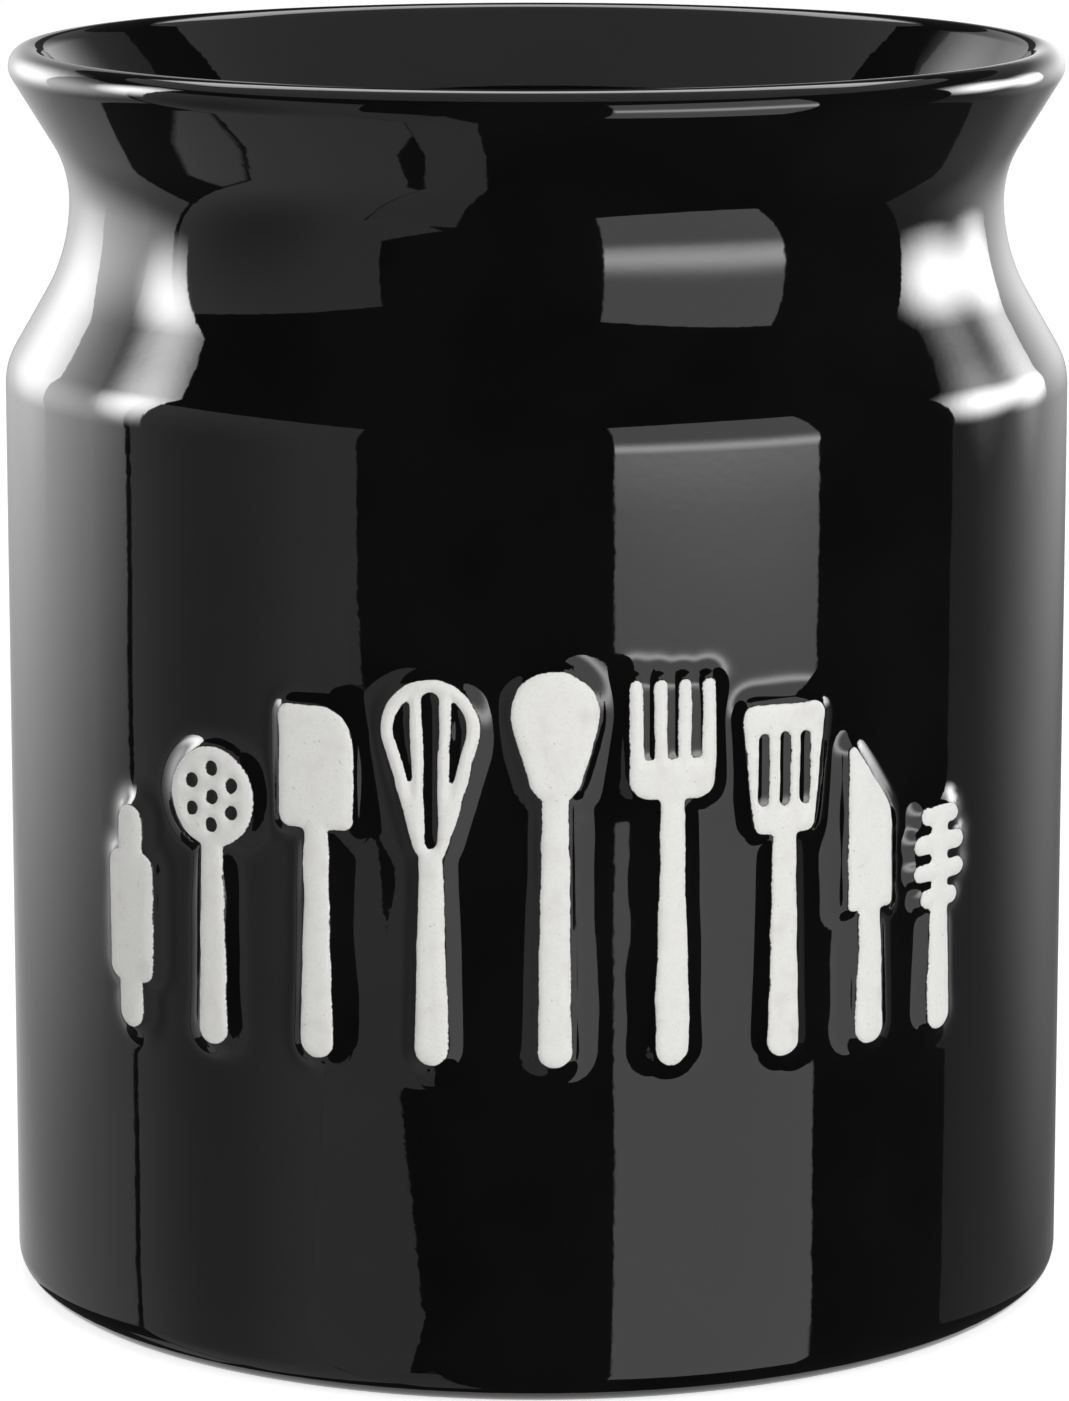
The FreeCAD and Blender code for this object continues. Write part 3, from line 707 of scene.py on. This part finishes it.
class CROCK_OT_stage(bpy.types.Operator):
    """Set up the floor, the backdrop, the softboxes and the camera"""

    bl_idname = "crock.stage"
    bl_label = "Stage"

    def add(self, name, mesh, material):
        """Make an object that isn't part of the crock."""
        made = link_mesh(name, mesh, material)
        return made

    def paper(self, name, studio, inside, outside, rise=0.0):
        """A turned piece of paper: a flat ring, curving up at its rim where rise is given."""
        mesh = bmesh.new()
        pen = SectionPen(mesh, inside, 0, 0)
        pen.run(outside - inside, PAPER_ROWS)
        if rise:
            cove_radius = rise / 3
            pen.turn(cove_radius, math.pi / 2, COVE_STEPS)
            pen.climb(rise, PAPER_ROWS)
        bmesh.ops.spin(mesh, geom=mesh.verts[:] + mesh.edges[:], cent=(0, 0, 0), axis=(0, 0, 1),
                       dvec=(0, 0, 0), angle=math.tau, steps=STAGE_STEPS, use_merge=True,
                       use_duplicate=False)
        close_turn(mesh)
        return self.add(name, mesh, paper_material(studio))

    def glowing(self, name, mesh, size, radiance, edge, patch=Patch(), clear=False):
        """A softbox, which shows only in the gloss of the crock and by its light."""
        made = self.add(name, mesh, softbox_material(name, size, radiance, edge, patch, clear))
        made.visible_camera = False
        return made

    def panel(self, size):
        """A level sheet with a texture map, around the origin."""
        mesh = bmesh.new()
        mesh.loops.layers.uv.new("UVMap")
        bmesh.ops.create_grid(mesh, x_segments=1, y_segments=1, size=0.5, calc_uvs=True)
        bmesh.ops.scale(mesh, verts=mesh.verts, vec=(*size, 1))
        return mesh

    def softbox(self, name, azimuth, elevation, radiance, edge, distance=0.9, hot=0.0, hot_at=None,
                hot_reach=None, sharpness=1.0, lean=0.0, clear=False):
        """An upright softbox between two azimuths and two elevations, in degrees, as seen from the crock,
        with its hot patch placed the same way. Azimuth is from the front towards the right. A lean turns it
        in its own plane."""
        def off(degrees):
            return distance * math.tan(math.radians(degrees))

        middle = sum(azimuth) / 2
        size = (off(azimuth[1] - middle) - off(azimuth[0] - middle), off(elevation[1]) - off(elevation[0]))
        centre = (off(elevation[0]) + off(elevation[1])) / 2
        patch = Patch()
        if hot:
            place = (off(hot_at[0] - middle), off(hot_at[1]) - centre)
            patch = Patch(hot, place, tuple(map(off, hot_reach)), sharpness)
        mesh = self.panel(size)
        bmesh.ops.rotate(mesh, verts=mesh.verts, cent=(0, 0, 0),
                         matrix=Matrix.Rotation(math.pi / 2, 3, "X"))
        bmesh.ops.rotate(mesh, verts=mesh.verts, cent=(0, 0, 0),
                         matrix=Matrix.Rotation(math.radians(lean), 3, "Y"))
        bmesh.ops.translate(mesh, verts=mesh.verts, vec=(0, -distance, SIGHT_HEIGHT + centre))
        bmesh.ops.rotate(mesh, verts=mesh.verts, cent=(0, 0, 0),
                         matrix=Matrix.Rotation(math.radians(middle), 3, "Z"))
        return self.glowing(name, mesh, size, radiance, edge, patch, clear)

    def side_box(self, name, azimuth, elevation, radiance, edge, **hot):
        """A clear softbox beside the crock that shows in its gloss and lights nothing else."""
        made = self.softbox(name, azimuth, elevation, radiance, edge, clear=True, **hot)
        made.visible_diffuse = False

    def ceiling_box(self, name, centre, size, radiance, edge):
        """A level softbox overhead."""
        mesh = self.panel(size)
        bmesh.ops.translate(mesh, verts=mesh.verts, vec=centre)
        return self.glowing(name, mesh, size, radiance, edge)

    def ceiling_disc(self, name, centre, radii, radiance, edge):
        """A level oval reflector overhead."""
        mesh = bmesh.new()
        mesh.loops.layers.uv.new("UVMap")
        bmesh.ops.create_circle(mesh, cap_ends=True, radius=1.0, segments=STAGE_STEPS, calc_uvs=True)
        bmesh.ops.scale(mesh, verts=mesh.verts, vec=(*radii, 1))
        bmesh.ops.translate(mesh, verts=mesh.verts, vec=centre)
        return self.glowing(name, mesh, radii, radiance, edge)

    def lamp(self, name, place, aim, width, height, power):
        """A large soft lamp that lights the matte surfaces and shows in no gloss."""
        data = bpy.data.lights.new(name, "AREA")
        data.shape = "RECTANGLE"
        data.size = width
        data.size_y = height
        data.energy = power
        made = bpy.data.objects.new(name, data)
        made.location = place
        made.rotation_euler = (Vector(aim) - Vector(place)).to_track_quat("-Z", "Y").to_euler()
        made.visible_camera = False
        made.visible_glossy = False
        bpy.context.scene.collection.objects.link(made)

    def set_floor(self, studio):
        """Floor near the foot, which shows in the gloss, and the cove around it, which does not."""
        self.paper("floor_near", studio, 0, studio.near_floor)
        cove = self.paper("floor_cove", studio, studio.near_floor, studio.stage_radius, studio.stage_height)
        cove.visible_glossy = False

    def set_front_boxes(self):
        """Softboxes in front of the crock, with a leaning one and a low one below on the left."""
        self.softbox("right_front_box", (15.6, 60.4), (-36, 35), radiance=1.45, edge=0.015, distance=1.2,
                     hot=5.4, hot_at=(38, 1.5), hot_reach=(85, 17), sharpness=3.0)
        self.softbox("left_front_box", (-94, -37), (-62, 28), radiance=0.54, edge=0.006, distance=1.1,
                     hot=-0.24, hot_at=(-72, -12), hot_reach=(30, 40))
        self.softbox("left_table_edge", (-46, -27), (-28.4, -11.7), radiance=0.53, edge=0.001,
                     distance=1.08, lean=42.6)
        self.softbox("left_low_box", (-44, -20), (-68, -23.5), radiance=0.5, edge=0.015, distance=1.13)

    def set_side_boxes(self):
        """Softboxes that draw the highlights at both sides of the neck and wall."""
        self.side_box("left_side_box", (-176, -95), (-28, 33), radiance=0.5, edge=0.015,
                      hot=3.0, hot_at=(-116, 8), hot_reach=(50, 27))
        self.side_box("left_key_box", (-115, -89), (-10, 38), radiance=0.0, edge=0.01,
                      hot=17.0, hot_at=(-95, 22), hot_reach=(17, 25))
        self.side_box("left_rear_box", (-168, -127), (-12, 42), radiance=0.0, edge=0.001,
                      hot=3.6, hot_at=(-131, 16), hot_reach=(27, 25))
        self.side_box("right_side_box", (96.5, 178), (-28, 33), radiance=0.15, edge=0.01,
                      hot=1.6, hot_at=(150, 8), hot_reach=(45, 20))
        self.side_box("right_key_box", (96, 132), (-12, 36), radiance=0.0, edge=0.004,
                      hot=16.0, hot_at=(107, 13), hot_reach=(20, 19))
        self.side_box("right_edge_box", (106, 138), (-12, 33), radiance=0.0, edge=0.001,
                      hot=9.0, hot_at=(128, 9), hot_reach=(17, 16))
        self.side_box("right_low_box", (100, 178), (-42, 12), radiance=0.0, edge=0.01,
                      hot=0.4, hot_at=(132, -9), hot_reach=(30, 14))
        self.side_box("left_flare_box", (-113, -93.2), (-55, -37), radiance=0.5, edge=0.03)

    def set_ceiling(self):
        """Light overhead that shows on the lip, in the mouth and on the shoulder."""
        box = self.ceiling_box("back_top_box", centre=(0, 0.55, 1.0), size=(1.2, 0.6),
                               radiance=4.5, edge=0.12)
        box.visible_diffuse = False
        disc = self.ceiling_disc("ceiling_disc", centre=(0, 0.16, 1.05), radii=(1.13, 0.85),
                                 radiance=0.5, edge=0.001)
        disc.visible_diffuse = False

    def set_lamps(self):
        """Lamps for the clay and the paper."""
        self.lamp("front_fill", place=(-0.25, -1.6, 0.9), aim=(0, 0, 0.09), width=1.8, height=1.4, power=9)
        self.lamp("top_fill", place=(0.2, 0.1, 1.9), aim=(0, 0, 0), width=2.4, height=2.4, power=32)

    def set_room(self, scene, studio):
        """A dark room all round."""
        world = bpy.data.worlds.new("dark_room")
        world.use_nodes = True
        background = world.node_tree.nodes["Background"]
        background.inputs["Color"].default_value = (studio.room, studio.room, studio.room, 1)
        scene.world = world
        scene.view_settings.view_transform = "Standard"

    def set_camera(self, scene, studio):
        """The photograph's viewpoint."""
        data = bpy.data.cameras.new("front_camera")
        data.lens = studio.lens
        camera = bpy.data.objects.new("front_camera", data)
        camera.location = (studio.camera_aside, -studio.camera_distance, studio.camera_height)
        camera.rotation_euler = (math.pi / 2 - studio.camera_tilt, 0, 0)
        scene.collection.objects.link(camera)
        scene.camera = camera

    def execute(self, context):
        scene = context.scene
        studio = scene.crock_studio
        self.set_floor(studio)
        self.set_front_boxes()
        self.set_side_boxes()
        self.set_ceiling()
        self.set_lamps()
        self.set_room(scene, studio)
        self.set_camera(scene, studio)
        return {"FINISHED"}


class VIEW3D_PT_crock(bpy.types.Panel):
    """Steps that dress the crock, with the sizes and colours they use"""

    bl_label = "Utensil Crock"
    bl_space_type = "VIEW_3D"
    bl_region_type = "UI"
    bl_category = "Crock"

    def draw(self, context):
        layout = self.layout
        for step in STEPS:
            layout.operator(step.bl_idname)
        for name in SETTINGS:
            group = getattr(context.scene, name)
            column = layout.column(heading=name)
            for key in group.bl_rna.properties.keys():
                if key not in {"rna_type", "name"}:
                    column.prop(group, key)


SETTINGS = {
    "crock_sizes": CrockSizes,
    "crock_glaze": GlazeFinish,
    "crock_clay": ClayFinish,
    "crock_studio": StudioSettings,
}
STEPS = (CROCK_OT_clay_body, CROCK_OT_base_glaze, CROCK_OT_glaze_coat, CROCK_OT_reliefs, CROCK_OT_stage)


def register():
    for kind in (*SETTINGS.values(), *STEPS, VIEW3D_PT_crock):
        bpy.utils.register_class(kind)
    for name, kind in SETTINGS.items():
        setattr(bpy.types.Scene, name, PointerProperty(type=kind))


def unregister():
    for name in SETTINGS:
        delattr(bpy.types.Scene, name)
    for kind in (VIEW3D_PT_crock, *reversed(STEPS), *reversed(SETTINGS.values())):
        bpy.utils.unregister_class(kind)


def main():
    register()
    bpy.ops.crock.clay_body()
    bpy.ops.crock.base_glaze()
    bpy.ops.crock.glaze_coat()
    bpy.ops.crock.reliefs()
    bpy.ops.crock.stage()


if __name__ == "__main__":
    main()
